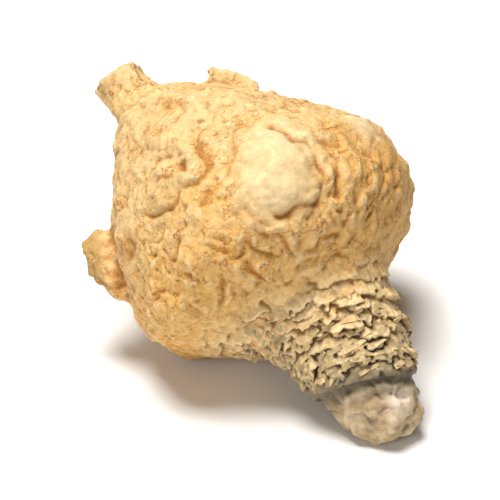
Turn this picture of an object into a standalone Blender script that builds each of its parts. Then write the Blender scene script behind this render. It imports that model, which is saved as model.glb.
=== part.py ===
"""A whole dried maca root, lying on its side.

One natural piece: a squat bulb that tapers into the stub of the taproot at one end and into the
ringed leaf crown at the other, with the stubs of its side roots. All of it is one solid.
Metres, +Z up. The crown points along -Y and a little down, and the origin is on the surface
that the root lies on, under the middle of its box.

A place on the root is given by its station, in mm along the root's axis from the bulb's middle
towards the crown, and by its turn, in degrees round that axis: 0 is +X, 90 is up, 270 is below.
"""

import math

import bmesh
import bpy
import numpy as np
from mathutils import Vector, noise

MM = 0.001

# The root's own axis runs through the bulb's middle to the crown, and leans down towards it.
CROWN_PITCH = math.radians(28)
CROWN_WAY = np.array([0.0, -math.cos(CROWN_PITCH), -math.sin(CROWN_PITCH)])
SIDE_WAY = np.array([1.0, 0.0, 0.0])
UP_WAY = np.array([0.0, -math.sin(CROWN_PITCH), math.cos(CROWN_PITCH)])

# All lengths below are in mm. The bulb's middle is GROUND_DROP above the surface, and BULB_SHIFT in X
# and Y from the origin.
BULB_RADIUS = 16.9
GROUND_DROP = 15.8
BULB_SHIFT = (-0.28, 3.53)

# Half widths of the taproot stub, bulb and crown neck, at stations along the axis.
PROFILE = (
    (-21.2, 0.0), (-21.1, 2.0), (-20.4, 2.9), (-19.0, 3.0), (-17.0, 3.6), (-15.0, 5.6), (-12.0, 8.7),
    (-8.0, 12.2), (-4.0, 14.9), (0.0, 16.6), (4.0, BULB_RADIUS), (7.5, 16.0), (10.0, 13.8), (12.0, 11.0),
    (14.0, 8.7), (17.0, 7.2), (20.0, 6.5), (23.0, 5.6), (26.0, 4.4), (28.0, 3.4), (29.2, 2.6),
    (29.8, 1.7), (30.0, 0.0),
)

# Where the axis wanders from straight: station, then sideways and upward shift.
BEND = (
    (-22.0, -4.6, -0.7), (-16.0, -3.2, -0.5), (-10.0, -1.2, -0.2), (0.0, 0.0, 0.0), (8.0, 0.0, 0.0),
    (15.0, 0.1, 0.3), (22.0, -0.8, 0.0), (30.0, -1.2, 0.1),
)

# Broad lobes and hollows of the bulb: station, turn, reach and height.
LOBES = (
    (-5.0, 50, 9.0, -2.5), (4.0, 32, 5.0, -0.7), (12.5, 18, 5.5, -1.7), (-18.5, 45, 3.0, -0.7),
    (9.0, 185, 6.0, 0.7), (7.0, 268, 13.0, -2.1), (-3.0, 345, 7.0, 0.8), (-11.0, 270, 7.0, -1.1),
    (-9.0, 225, 6.0, 0.6), (1.0, 10, 6.0, 0.4), (-12.0, 330, 5.0, 0.9), (6.0, 212, 4.5, 0.6),
)

# Side roots, broken off short. Each runs through places given by station, turn and height above the
# bulb, with its half width there.
SIDE_ROOTS = {
    "ear": ((-7.2, 203, 1.6, 1.5), (-5.6, 205, 2.0, 1.9), (-3.6, 206, 1.5, 1.9), (-1.4, 207, 0.4, 1.6),
            (0.6, 208, -1.2, 1.4)),
    "sliver": ((-9.0, 62, -1.3, 0.8), (-11.0, 64, 0.0, 0.75), (-12.8, 66, 1.0, 0.65), (-14.4, 68, 1.4, 0.5)),
    "low_stub": ((-8.0, 300, -1.5, 1.7), (-9.2, 301, 0.6, 1.3), (-10.6, 303, 2.0, 1.0)),
    "back_stub": ((3.0, 332, -1.5, 1.6), (2.6, 331, 0.4, 1.3), (1.8, 329, 1.7, 1.1)),
}

# Rounded bosses and knobs: station, turn, reach and height.
BOSSES = (
    (1.4, 104, 3.4, 1.2), (5.2, 113, 3.5, 1.3), (2.4, 60, 2.3, 0.9), (-7.2, 182, 1.4, 0.5),
    (8.2, 180, 3.8, 0.8), (2.6, 143, 2.4, 0.5), (-11.5, 118, 3.0, 0.5),
    (-14.5, 150, 1.8, 0.8), (-18.0, 190, 1.4, 0.5), (5.5, 153, 2.4, 0.5), (-8.0, 95, 2.6, 0.5),
    (-1.0, 25, 3.0, 0.6), (6.5, 345, 3.2, 0.8), (-6.0, 320, 2.8, 0.7), (-3.5, 265, 3.0, 0.6),
    (7.0, 235, 3.0, 0.7), (-10.0, 20, 2.6, 0.6), (5.0, 5, 2.4, 0.6), (-13.0, 250, 2.2, 0.6),
)

# Rolls of skin: half width, height and the places that each runs through, as station and turn.
ROLLS = (
    (1.2, 0.9, ((-8.6, 143), (-6.6, 135), (-4.3, 131), (-2.2, 132), (-1.4, 136), (-2.6, 141), (-4.4, 147))),
    (1.5, 0.6, ((-14.3, 118), (-9.7, 109), (-4.9, 100), (-1.3, 89), (1.2, 76))),
    (1.2, 0.6, ((3.0, 122), (6.6, 126), (9.0, 121), (10.0, 111), (9.8, 102))),
    (1.3, 0.5, ((-6.0, 215), (-1.0, 221), (3.0, 226), (7.0, 224))),
    (1.2, 0.35, ((-9.0, 40), (-4.0, 33), (1.0, 30), (6.0, 33))),
    (1.4, 0.3, ((-7.0, 345), (-2.0, 352), (3.0, 355), (8.0, 350))),
    (1.3, 0.5, ((-8.0, 280), (-3.0, 286), (2.0, 284), (6.0, 290))),
)

# Creases: half width, depth and the places that each runs through.
CREASES = (
    (0.8, 1.1, ((2.8, 126), (5.4, 122), (7.8, 117), (8.6, 108), (8.2, 99))),
    (0.7, 0.8, ((-2.2, 106), (-0.6, 98), (0.6, 91), (2.4, 86))),
    (0.9, 0.6, ((-3.6, 112), (-0.5, 119), (2.6, 125))),
    (0.7, 1.0, ((-6.0, 129), (-4.2, 126), (-2.2, 127), (-0.7, 130), (-0.1, 136), (-1.0, 142))),
    (0.7, 0.7, ((-4.9, 152), (-4.2, 145), (-3.2, 139), (-2.6, 135))),
    (1.6, 0.6, ((-0.1, 130), (1.1, 138), (2.4, 147), (4.1, 156))),
    (0.7, 0.7, ((-2.9, 158), (-1.4, 147), (0.1, 147), (-0.3, 153))),
    (0.7, 0.8, ((7.7, 135), (8.6, 134), (9.4, 133), (10.2, 127))),
    (0.7, 0.7, ((8.8, 154), (10.0, 151), (11.2, 142))),
    (0.7, 0.8, ((7.6, 166), (8.6, 156), (7.6, 149), (6.2, 140))),
    (0.7, 0.9, ((4.6, 76), (5.5, 69), (6.0, 61))),
    (1.0, 1.0, ((-6.6, 197), (-4.6, 197), (-1.6, 193), (0.6, 198))),
    (0.8, 0.7, ((-15.2, 120), (-12.5, 128), (-11.0, 142), (-11.8, 158))),
    (0.8, 0.8, ((-8.0, 240), (-4.0, 248), (0.5, 250), (4.5, 262), (7.5, 280))),
    (0.8, 0.8, ((-9.0, 340), (-5.0, 334), (-1.0, 340), (4.0, 348), (9.0, 352))),
    (0.8, 0.7, ((-13.0, 60), (-9.0, 40), (-4.0, 28), (1.0, 22))),
    (0.7, 0.7, ((-6.0, 290), (-1.0, 296), (4.0, 304), (8.5, 312))),
    (0.7, 0.8, ((25.6, 128), (26.2, 100), (26.7, 70), (26.8, 45))),
)

# Fine upright pleats of the shoulder, and the folded skin of the rest of the bulb.
PLEAT_GAP = 2.2
PLEAT_HEIGHT = 0.45
SHOULDER_TURN = 70
SHOULDER_SPREAD = 45
FOLD_SIZE = 5.5
FOLD_HEIGHT = 1.1

# Leaf scars: torn leaf bases stand in rings round the neck, up to the band before the blunt tip. The
# rings lean over towards one turn, and reach this much further along the axis there.
NECK_START = 10.6
BAND = 23.4
RING_TILT = 2.2
TILT_TURN = 60
ROW_GAP = 2.3
SCALE_WIDTH = 3.2
SCALE_HEIGHT = 1.15

# The flat spot that the root lies on, under its weight: its middle from the bulb's middle in X and Y,
# how far around it the skin is pressed out, by how much, and how far the relief fades out there.
REST_MIDDLE = (-0.2, -1.6)
REST_REACH = 6.0
REST_PUSH = 0.9
REST_CALM = 6.0
FLAT_SNAP = 0.02

SIDES = 96
RINGS = 96
VOXEL = 0.42
TRIANGLES = 10600
COLOUR = (0.62, 0.42, 0.20, 1.0)
ROUGHNESS = 0.82


def smooth_step(low, high, value):
    t = np.clip((value - low) / (high - low), 0, 1)
    return t * t * (3 - 2 * t)


def smooth_table(table, at):
    """Values of a table of stations at any station, on a smooth curve through its points."""
    rows = np.array(table)
    x, y = rows[:, 0], rows[:, 1:]
    slope = np.gradient(y, x, axis=0)
    at = np.clip(at, x[0], x[-1])
    i = np.clip(np.searchsorted(x, at) - 1, 0, len(x) - 2)
    gap = (x[i + 1] - x[i])[:, None]
    t = ((at - x[i]) / (x[i + 1] - x[i]))[:, None]
    start = (2 * t**3 - 3 * t**2 + 1) * y[i] + (t**3 - 2 * t**2 + t) * gap * slope[i]
    end = (3 * t**2 - 2 * t**3) * y[i + 1] + (t**3 - t**2) * gap * slope[i + 1]
    return start + end


def half_width(station):
    return np.maximum(smooth_table(PROFILE, station)[:, 0], 0.0)


def centre_line(station):
    """Points of the root's centre line, from the bulb's middle."""
    shift = smooth_table(BEND, station)
    return station[:, None] * CROWN_WAY + shift[:, :1] * SIDE_WAY + shift[:, 1:2] * UP_WAY


def spoke(turn):
    """Directions square to the axis, at a turn round it in radians."""
    return np.cos(turn)[:, None] * SIDE_WAY + np.sin(turn)[:, None] * UP_WAY


def surface_point(station, turn_degrees, height=0.0):
    """Points at a height above the plain form, from the bulb's middle."""
    station = np.atleast_1d(np.asarray(station, float))
    turn = np.radians(np.atleast_1d(np.asarray(turn_degrees, float)))
    return centre_line(station) + (half_width(station) + height)[:, None] * spoke(turn)


def root_coordinates(points):
    """Station, and turn in radians, of points."""
    station = points @ CROWN_WAY
    out = points - centre_line(station)
    return station, np.arctan2(out @ UP_WAY, out @ SIDE_WAY)


def along(places, steps):
    """Rows of values along a smooth path through places."""
    spread = np.linspace(0, len(places) - 1, steps)
    table = [(i, *place) for i, place in enumerate(places)]
    return smooth_table(table, spread)


def tube_mesh(mesh, rings):
    """Adds a closed tube to a bmesh: rings of points, closed by a point at each end."""
    rows = [[mesh.verts.new(p) for p in ring] for ring in rings]
    sides = len(rows[0])
    for low, high in zip(rows, rows[1:]):
        for i in range(sides):
            j = (i + 1) % sides
            mesh.faces.new((low[i], low[j], high[j], high[i]))
    for row, turned in ((rows[0], True), (rows[-1], False)):
        middle = mesh.verts.new(sum((v.co for v in row), Vector()) / sides)
        for i in range(sides):
            j = (i + 1) % sides
            mesh.faces.new((row[j], row[i], middle) if turned else (row[i], row[j], middle))


def add_main_form(mesh):
    stations = np.linspace(PROFILE[0][0] + 0.05, PROFILE[-1][0] - 0.05, RINGS)
    turns = np.linspace(0, 2 * math.pi, SIDES, endpoint=False)
    plain = np.array([surface_point(np.full(SIDES, s), np.degrees(turns)) for s in stations])
    out = np.array([spoke(turns)] * RINGS)
    height = np.zeros(plain.shape[:2])
    for station, turn, reach, rise in LOBES:
        far = np.linalg.norm(plain - surface_point(station, turn)[0], axis=2)
        height += rise * np.exp(-((far / reach) ** 2))
    tube_mesh(mesh, plain + height[:, :, None] * out)


def add_side_root(mesh, places):
    """A broken side root: a tube through its places, with blunt rounded ends."""
    path = along(places, 14)
    middles = np.concatenate([surface_point(s, t, h) for s, t, h, _ in path])
    around = np.linspace(0, 2 * math.pi, 18, endpoint=False)
    rings = []
    for i, middle in enumerate(middles):
        way = middles[min(i + 1, len(path) - 1)] - middles[max(i - 1, 0)]
        way /= np.linalg.norm(way)
        wide = np.cross(way, middle)
        wide /= np.linalg.norm(wide)
        thin = np.cross(way, wide)
        t = i / (len(path) - 1)
        end = min(t, 1 - t)
        width = path[i][3] * math.sqrt(min(1, 0.15 + end / 0.18))
        rings.append([middle + width * (math.cos(a) * wide + math.sin(a) * thin) for a in around])
    tube_mesh(mesh, rings)


def skin_of(mesh, voxel, smoothing):
    """The outer skin of overlapping closed shapes as one closed mesh, its corners eased."""
    helper = bpy.data.objects.new("helper", mesh)
    bpy.context.scene.collection.objects.link(helper)
    remesh = helper.modifiers.new("Skin", "REMESH")
    remesh.mode = "VOXEL"
    remesh.voxel_size = voxel
    ease = helper.modifiers.new("Ease", "SMOOTH")
    ease.iterations = smoothing
    graph = bpy.context.evaluated_depsgraph_get()
    skin = bpy.data.meshes.new_from_object(helper.evaluated_get(graph))
    bpy.data.objects.remove(helper)
    return skin


def read_points(mesh, what="co"):
    """The places of a mesh's points, or with what="normal" their normals."""
    flat = np.empty(len(mesh.vertices) * 3)
    mesh.vertices.foreach_get(what, flat)
    return flat.reshape(-1, 3)


def noise_at(points, size, seed):
    """Smooth noise of about -1 to 1, with features of a given size."""
    shift = Vector((seed * 7.3, seed * 3.1, seed * 5.7))
    return np.array([noise.noise(Vector(p) / size + shift) for p in points])


def far_from_path(points, places):
    """Distance of points on the plain form from a smooth path over it."""
    path = along(places, 6 * len(places))
    line = np.concatenate([surface_point(s, t) for s, t in path])
    near = np.full(len(points), 1e9)
    for a, b in zip(line, line[1:]):
        t = np.clip((points - a) @ (b - a) / ((b - a) @ (b - a)), 0, 1)
        near = np.minimum(near, np.linalg.norm(points - a - t[:, None] * (b - a), axis=1))
    return near


def crease_depth(plain):
    """How deep the creases cut, as a V with a slightly raised lip."""
    depth = np.zeros(len(plain))
    for width, deep, places in CREASES:
        near = far_from_path(plain, places)
        cut = deep * np.exp(-((near / width) ** 1.5))
        lip = 0.12 * deep * np.exp(-(((near - 2.6 * width) / (1.5 * width)) ** 2))
        depth = np.where(np.abs(cut - lip) > np.abs(depth), cut - lip, depth)
    return depth


def bulb_relief(points, plain, station, turn):
    """Bosses, rolls, folds and pleats of the bulb."""
    height = np.zeros(len(points))
    for s, t, reach, rise in BOSSES:
        far = np.linalg.norm(plain - surface_point(s, t)[0], axis=1)
        height += rise * np.exp(-((far / reach) ** 2))
    for width, rise, places in ROLLS:
        height += rise * np.exp(-((far_from_path(plain, places) / width) ** 2))
    warp = np.stack([noise_at(points, 6.0, seed) for seed in (1, 2, 3)], axis=1)
    folds = np.abs(noise_at(points + 2.0 * warp, FOLD_SIZE, 4)) ** 0.8
    fine = np.abs(noise_at(points + 1.5 * warp, 0.5 * FOLD_SIZE, 5))
    height += FOLD_HEIGHT * (folds + 0.5 * fine - 0.4)
    aside = (np.degrees(turn) - SHOULDER_TURN + 180) % 360 - 180
    shoulder = smooth_step(0, 4, station) * np.exp(-((aside / SHOULDER_SPREAD) ** 4))
    around = turn * half_width(station)
    pleat = np.stack([station / 6, around / PLEAT_GAP, np.full(len(points), 9.0)], axis=1)
    return height + shoulder * PLEAT_HEIGHT * noise_at(pleat, 1.0, 6)


def ring_station(station, turn):
    """Station counted along the neck's rings, which lean over."""
    return station - RING_TILT * smooth_step(4, 12, station) * np.cos(turn - math.radians(TILT_TURN))


def neck_relief(points, ring, station, turn):
    """Rings of torn leaf bases: each rises towards the crown and ends in a ragged edge."""
    wander = noise_at(np.stack([np.cos(turn) * 2, np.sin(turn) * 2, station / 5], axis=1), 1.0, 7)
    wander += 0.6 * noise_at(points, 2.2, 12)
    row = (ring - NECK_START) / ROW_GAP + 0.7 * wander
    step = np.floor(row)
    part = row - step
    around = turn * half_width(station) / SCALE_WIDTH
    edge = noise_at(np.stack([np.cos(turn) * 2.6, np.sin(turn) * 2.6, step * 3.7], axis=1), 0.9, 8)
    torn = noise_at(np.stack([around, step * 5.1, np.zeros(len(points))], axis=1), 0.55, 9)
    rise = part**0.9 * (1 - smooth_step(0.74, 0.9, part))
    return SCALE_HEIGHT * (rise * (1.0 + 1.1 * edge + 1.0 * torn) - 0.3)


def relief(points):
    """Height of the relief. Distances are measured where points lie on the plain form."""
    station, turn = root_coordinates(points)
    plain = surface_point(station, np.degrees(turn))
    ring = ring_station(station, turn)
    bulb = 1 - smooth_step(NECK_START - 2, NECK_START + 1, ring)
    neck = smooth_step(NECK_START - 1, NECK_START + 1.5, ring) * (1 - smooth_step(BAND - 0.6, BAND, ring))
    band = np.exp(-(((ring - BAND - 0.3) / 0.8) ** 2))
    tip = smooth_step(BAND, BAND + 1.5, ring)
    stub = smooth_step(-16.5, -18.5, station)
    height = bulb * (1 - 0.7 * stub) * bulb_relief(points, plain, station, turn)
    height += neck * neck_relief(points, ring, station, turn)
    height -= 0.6 * band
    height += tip * 0.8 * noise_at(points, 2.6, 10)
    return height - (1 - neck) * crease_depth(plain)


def triangles_only(mesh, count):
    """Brings a mesh down to a number of triangles, most of them where the relief is."""
    helper = bpy.data.objects.new("helper", mesh)
    bpy.context.scene.collection.objects.link(helper)
    thin = helper.modifiers.new("Thin", "DECIMATE")
    thin.ratio = 0.5 * count / len(mesh.polygons)
    thin.use_collapse_triangulate = True
    graph = bpy.context.evaluated_depsgraph_get()
    result = bpy.data.meshes.new_from_object(helper.evaluated_get(graph))
    bpy.data.objects.remove(helper)
    return result


def fading_at_rest(points):
    """0 in the middle of the flat spot and 1 away from it."""
    far = np.linalg.norm(points - [*REST_MIDDLE, -GROUND_DROP], axis=1)
    return 1 - np.exp(-((far / REST_CALM) ** 4))


def settled(points):
    """Presses the underside out and cuts it off level, which makes the flat spot."""
    far = np.hypot(points[:, 0] - REST_MIDDLE[0], points[:, 1] - REST_MIDDLE[1])
    points = points.copy()
    low = points[:, 2] < 0
    points[low, 2] -= REST_PUSH * np.exp(-((far[low] / REST_REACH) ** 2))
    points[:, 2] = np.maximum(points[:, 2], -GROUND_DROP)
    return points


def set_points(mesh, points):
    mesh.vertices.foreach_set("co", points.ravel())
    mesh.update()


def plain_form():
    """The bulb, stub and neck, and the side roots that stand in them, as closed shapes."""
    shapes = bmesh.new()
    add_main_form(shapes)
    for places in SIDE_ROOTS.values():
        add_side_root(shapes, places)
    bmesh.ops.recalc_face_normals(shapes, faces=shapes.faces)
    plain = bpy.data.meshes.new("plain")
    shapes.to_mesh(plain)
    shapes.free()
    return plain


def root_material():
    material = bpy.data.materials.new("dried_root")
    material.use_nodes = True
    shader = material.node_tree.nodes["Principled BSDF"]
    shader.inputs["Base Color"].default_value = COLOUR
    shader.inputs["Roughness"].default_value = ROUGHNESS
    shader.inputs["Metallic"].default_value = 0.0
    return material


def build():
    for old in list(bpy.data.objects):
        bpy.data.objects.remove(old)
    skin = skin_of(plain_form(), VOXEL, 3)
    points = read_points(skin)
    rise = relief(points) * fading_at_rest(points)
    set_points(skin, points + rise[:, None] * read_points(skin, "normal"))
    skin = skin_of(skin, VOXEL, 1)
    set_points(skin, settled(read_points(skin)))
    skin = triangles_only(skin, TRIANGLES)
    points = read_points(skin)
    points[points[:, 2] < FLAT_SNAP - GROUND_DROP, 2] = -GROUND_DROP
    set_points(skin, (points + [*BULB_SHIFT, GROUND_DROP]) * MM)
    skin.materials.append(root_material())
    skin.shade_smooth()
    root = bpy.data.objects.new("maca_root", skin)
    bpy.context.scene.collection.objects.link(root)


build()
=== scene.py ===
# %% [markdown]
# # A dried maca root
#
# This lesson dresses a dried maca root. The real thing is a squat bulb that shrank as it dried, so
# its skin lies in pillows, creases and pleats. A neck of torn leaf bases stands at one end and the
# stub of the taproot at the other. All of it grew as one piece.
#
# The plain model of the root is loaded first. It fixes the size and the place of everything, so its
# box is kept here.

# %% Load the plain root
import math

import bmesh
import bpy
import numpy as np
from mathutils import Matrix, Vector, noise
from mathutils.bvhtree import BVHTree


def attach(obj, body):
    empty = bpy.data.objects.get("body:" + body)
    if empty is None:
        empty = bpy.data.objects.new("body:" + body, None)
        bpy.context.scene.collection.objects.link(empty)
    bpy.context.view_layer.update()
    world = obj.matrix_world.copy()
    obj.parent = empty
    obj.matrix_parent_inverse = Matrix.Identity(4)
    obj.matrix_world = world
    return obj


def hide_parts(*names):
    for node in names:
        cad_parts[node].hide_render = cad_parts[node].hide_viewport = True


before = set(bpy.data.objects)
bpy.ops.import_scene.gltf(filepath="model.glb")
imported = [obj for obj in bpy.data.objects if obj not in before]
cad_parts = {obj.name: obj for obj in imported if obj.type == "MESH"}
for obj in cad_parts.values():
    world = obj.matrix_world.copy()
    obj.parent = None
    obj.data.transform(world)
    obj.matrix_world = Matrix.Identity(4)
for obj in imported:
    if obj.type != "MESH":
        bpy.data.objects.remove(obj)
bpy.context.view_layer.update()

# %% [markdown]
# ## How places on the root are named
#
# A grown thing has no straight edges to measure from, so places are given as on a globe. The
# station is the distance along the root's axis from the bulb's middle, positive towards the crown.
# The turn is the angle round that axis: 0 is +X, 90 is up and 270 is below. Both are easy to read
# off a picture, and they stay put when the form is changed. Lengths are in millimetres here and are
# brought to metres at the end.

# %% The axis and the box it sits in
MM = 0.001
CROWN_PITCH = math.radians(28)
CROWN_WAY = np.array([0.0, -math.cos(CROWN_PITCH), -math.sin(CROWN_PITCH)])
SIDE_WAY = np.array([1.0, 0.0, 0.0])
UP_WAY = np.array([0.0, -math.sin(CROWN_PITCH), math.cos(CROWN_PITCH)])
GROUND_DROP = 15.8
BULB_SHIFT = (-0.28, 3.53)
BULB_MIDDLE = np.array([*BULB_SHIFT, GROUND_DROP])
print("the bulb's middle is at", BULB_MIDDLE, "mm")

# %% [markdown]
# ## Where the picture was taken from
#
# The picture was taken from the root's left, above its crown, with a long lens. The camera's place is
# worked out first, because creases are placed by where they show: a line is sent from the camera
# through a spot of the picture, and where it meets the skin is the place. The frame is a square
# window of the picture, 184 of its pixels wide, in which a pixel is 0.29 mm.

# %% The camera's place and directions
CAMERA_AZIMUTH = math.radians(-38)
CAMERA_ELEVATION = math.radians(33)
CAMERA_DISTANCE = 480.0
LENS = 324
SENSOR = 36
PIXEL = 0.29
WINDOW = 184
FRAME_MIDDLE = (119, 296)
BULB_PIXEL = (121, 281)
BACK_WAY = np.array([math.sin(CAMERA_AZIMUTH) * math.cos(CAMERA_ELEVATION),
                     -math.cos(CAMERA_AZIMUTH) * math.cos(CAMERA_ELEVATION), math.sin(CAMERA_ELEVATION)])
RIGHT_WAY = np.array([math.cos(CAMERA_AZIMUTH), math.sin(CAMERA_AZIMUTH), 0.0])
ABOVE_WAY = np.cross(BACK_WAY, RIGHT_WAY)
aim = RIGHT_WAY * (FRAME_MIDDLE[0] - BULB_PIXEL[0]) * PIXEL
aim = aim - ABOVE_WAY * (FRAME_MIDDLE[1] - BULB_PIXEL[1]) * PIXEL
camera_place = aim + BACK_WAY * CAMERA_DISTANCE
print("the camera stands", (camera_place + BULB_MIDDLE).round(), "mm from the origin")

# %% The plain form's sizes
BULB_RADIUS = 16.9
PROFILE = (
    (-21.2, 0.0), (-21.1, 2.0), (-20.4, 2.9), (-19.0, 3.0), (-17.0, 3.6), (-15.0, 5.6), (-12.0, 8.7),
    (-8.0, 12.2), (-4.0, 14.9), (0.0, 16.6), (4.0, BULB_RADIUS), (7.5, 16.0), (10.0, 13.8), (12.0, 11.0),
    (14.0, 8.7), (17.0, 7.2), (20.0, 6.5), (23.0, 5.6), (26.0, 4.4), (28.0, 3.4), (29.2, 2.6),
    (29.8, 1.7), (30.0, 0.0),
)
BEND = (
    (-22.0, -4.6, -0.7), (-16.0, -3.2, -0.5), (-10.0, -1.2, -0.2), (0.0, 0.0, 0.0), (8.0, 0.0, 0.0),
    (15.0, 0.1, 0.3), (22.0, -0.8, 0.0), (30.0, -1.2, 0.1),
)
LOBES = (
    (-5.0, 50, 9.0, -2.5), (4.0, 32, 5.0, -0.7), (12.5, 18, 5.5, -1.7), (-18.5, 45, 3.0, -0.7),
    (9.0, 185, 6.0, 0.7), (7.0, 268, 13.0, -2.1), (-3.0, 345, 7.0, 0.8), (-11.0, 270, 7.0, -1.1),
    (-9.0, 225, 6.0, 0.6), (1.0, 10, 6.0, 0.4), (-12.0, 330, 5.0, 0.9), (6.0, 212, 4.5, 0.6),
)
SIDE_ROOTS = {
    "ear": ((-7.2, 203, 1.6, 1.5), (-5.6, 205, 2.0, 1.9), (-3.6, 206, 1.5, 1.9), (-1.4, 207, 0.4, 1.6),
            (0.6, 208, -1.2, 1.4)),
    "sliver": ((-9.0, 62, -1.3, 0.8), (-11.0, 64, 0.0, 0.75), (-12.8, 66, 1.0, 0.65),
               (-14.4, 68, 1.4, 0.5)),
    "low_stub": ((-8.0, 300, -1.5, 1.7), (-9.2, 301, 0.6, 1.3), (-10.6, 303, 2.0, 1.0)),
    "back_stub": ((3.0, 332, -1.5, 1.6), (2.6, 331, 0.4, 1.3), (1.8, 329, 1.7, 1.1)),
}


# %% Helpers that turn stations and turns into points
def smooth_step(low, high, value):
    t = np.clip((value - low) / (high - low), 0, 1)
    return t * t * (3 - 2 * t)


def smooth_table(table, at):
    """Values of a table of stations at any station, on a smooth curve through its points."""
    rows = np.array(table)
    x, y = rows[:, 0], rows[:, 1:]
    slope = np.gradient(y, x, axis=0)
    at = np.clip(at, x[0], x[-1])
    i = np.clip(np.searchsorted(x, at) - 1, 0, len(x) - 2)
    gap = (x[i + 1] - x[i])[:, None]
    t = ((at - x[i]) / (x[i + 1] - x[i]))[:, None]
    start = (2 * t**3 - 3 * t**2 + 1) * y[i] + (t**3 - 2 * t**2 + t) * gap * slope[i]
    end = (3 * t**2 - 2 * t**3) * y[i + 1] + (t**3 - t**2) * gap * slope[i + 1]
    return start + end


def half_width(station):
    return np.maximum(smooth_table(PROFILE, station)[:, 0], 0.0)


def centre_line(station):
    shift = smooth_table(BEND, station)
    return station[:, None] * CROWN_WAY + shift[:, :1] * SIDE_WAY + shift[:, 1:2] * UP_WAY


def spoke(turn):
    return np.cos(turn)[:, None] * SIDE_WAY + np.sin(turn)[:, None] * UP_WAY


def surface_point(station, turn_degrees, height=0.0):
    """Points at a height above the plain form, from the bulb's middle."""
    station = np.atleast_1d(np.asarray(station, float))
    turn = np.radians(np.atleast_1d(np.asarray(turn_degrees, float)))
    return centre_line(station) + (half_width(station) + height)[:, None] * spoke(turn)


def root_coordinates(points):
    """Station, and turn in radians, of points."""
    station = points @ CROWN_WAY
    out = points - centre_line(station)
    return station, np.arctan2(out @ UP_WAY, out @ SIDE_WAY)


def along(places, steps):
    """Rows of values along a smooth path through places."""
    spread = np.linspace(0, len(places) - 1, steps)
    return smooth_table([(i, *place) for i, place in enumerate(places)], spread)


widest = surface_point([4.0, 4.0], [0, 180])
print("the plain bulb is", round(float(np.linalg.norm(widest[0] - widest[1])), 1), "mm across")

# %% [markdown]
# ## The bulk of the root
#
# A sculptor would start with a lump of clay: the turned bulb, with the stubs of the side roots
# pushed into it. Here each of these is a closed tube of rings. A voxel remesh then grows one skin
# round all of them, as clay would merge, and a little smoothing eases the corners where they meet.
# Booleans would join them too, but they leave hard corners and long thin faces, on which fine
# relief can't be raised.


# %% Tubes for the bulb and for the side roots
def tube_mesh(mesh, rings):
    """Adds a closed tube to a bmesh: rings of points, closed by a point at each end."""
    rows = [[mesh.verts.new(p) for p in ring] for ring in rings]
    sides = len(rows[0])
    for low, high in zip(rows, rows[1:]):
        for i in range(sides):
            j = (i + 1) % sides
            mesh.faces.new((low[i], low[j], high[j], high[i]))
    for row, turned in ((rows[0], True), (rows[-1], False)):
        middle = mesh.verts.new(sum((v.co for v in row), Vector()) / sides)
        for i in range(sides):
            j = (i + 1) % sides
            mesh.faces.new((row[j], row[i], middle) if turned else (row[i], row[j], middle))


def add_main_form(mesh, ring_count=96, sides=96):
    stations = np.linspace(PROFILE[0][0] + 0.05, PROFILE[-1][0] - 0.05, ring_count)
    turns = np.linspace(0, 2 * math.pi, sides, endpoint=False)
    plain = np.array([surface_point(np.full(sides, s), np.degrees(turns)) for s in stations])
    height = np.zeros(plain.shape[:2])
    for station, turn, reach, rise in LOBES:
        far = np.linalg.norm(plain - surface_point(station, turn)[0], axis=2)
        height += rise * np.exp(-((far / reach) ** 2))
    tube_mesh(mesh, plain + height[:, :, None] * np.array([spoke(turns)] * ring_count))


BLUNT_END = 0.15
BLUNT_SHARE = 0.18


def add_side_root(mesh, places, ring_count=14, sides=18):
    """A broken side root: a tube through its places, with blunt rounded ends."""
    path = along(places, ring_count)
    middles = np.concatenate([surface_point(s, t, h) for s, t, h, _ in path])
    around = np.linspace(0, 2 * math.pi, sides, endpoint=False)
    rings = []
    for i, middle in enumerate(middles):
        way = middles[min(i + 1, ring_count - 1)] - middles[max(i - 1, 0)]
        way /= np.linalg.norm(way)
        wide = np.cross(way, middle)
        wide /= np.linalg.norm(wide)
        thin = np.cross(way, wide)
        to_end = min(i, ring_count - 1 - i) / (ring_count - 1)
        width = path[i][3] * math.sqrt(min(1, BLUNT_END + to_end / BLUNT_SHARE))
        rings.append([middle + width * (math.cos(a) * wide + math.sin(a) * thin) for a in around])
    tube_mesh(mesh, rings)


# %% One skin round all of them
def skin_of(mesh, voxel, smoothing):
    """The outer skin of overlapping closed shapes as one closed mesh, its corners eased."""
    helper = bpy.data.objects.new("helper", mesh)
    bpy.context.scene.collection.objects.link(helper)
    remesh = helper.modifiers.new("Skin", "REMESH")
    remesh.mode = "VOXEL"
    remesh.voxel_size = voxel
    if smoothing:
        ease = helper.modifiers.new("Ease", "SMOOTH")
        ease.iterations = smoothing
    graph = bpy.context.evaluated_depsgraph_get()
    skin = bpy.data.meshes.new_from_object(helper.evaluated_get(graph))
    bpy.data.objects.remove(helper)
    return skin


def read_points(mesh, what="co"):
    flat = np.empty(len(mesh.vertices) * 3)
    mesh.vertices.foreach_get(what, flat)
    return flat.reshape(-1, 3)


def write_points(mesh, points):
    mesh.vertices.foreach_set("co", points.ravel())
    mesh.update()


FIRST_VOXEL = 0.4
FIRST_SMOOTHING = 3
shapes = bmesh.new()
add_main_form(shapes)
for side_root in SIDE_ROOTS.values():
    add_side_root(shapes, side_root)
bmesh.ops.recalc_face_normals(shapes, faces=shapes.faces)
clay = bpy.data.meshes.new("clay")
shapes.to_mesh(clay)
shapes.free()
skin = skin_of(clay, FIRST_VOXEL, FIRST_SMOOTHING)
print("smooth skin:", len(skin.vertices), "points")
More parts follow.
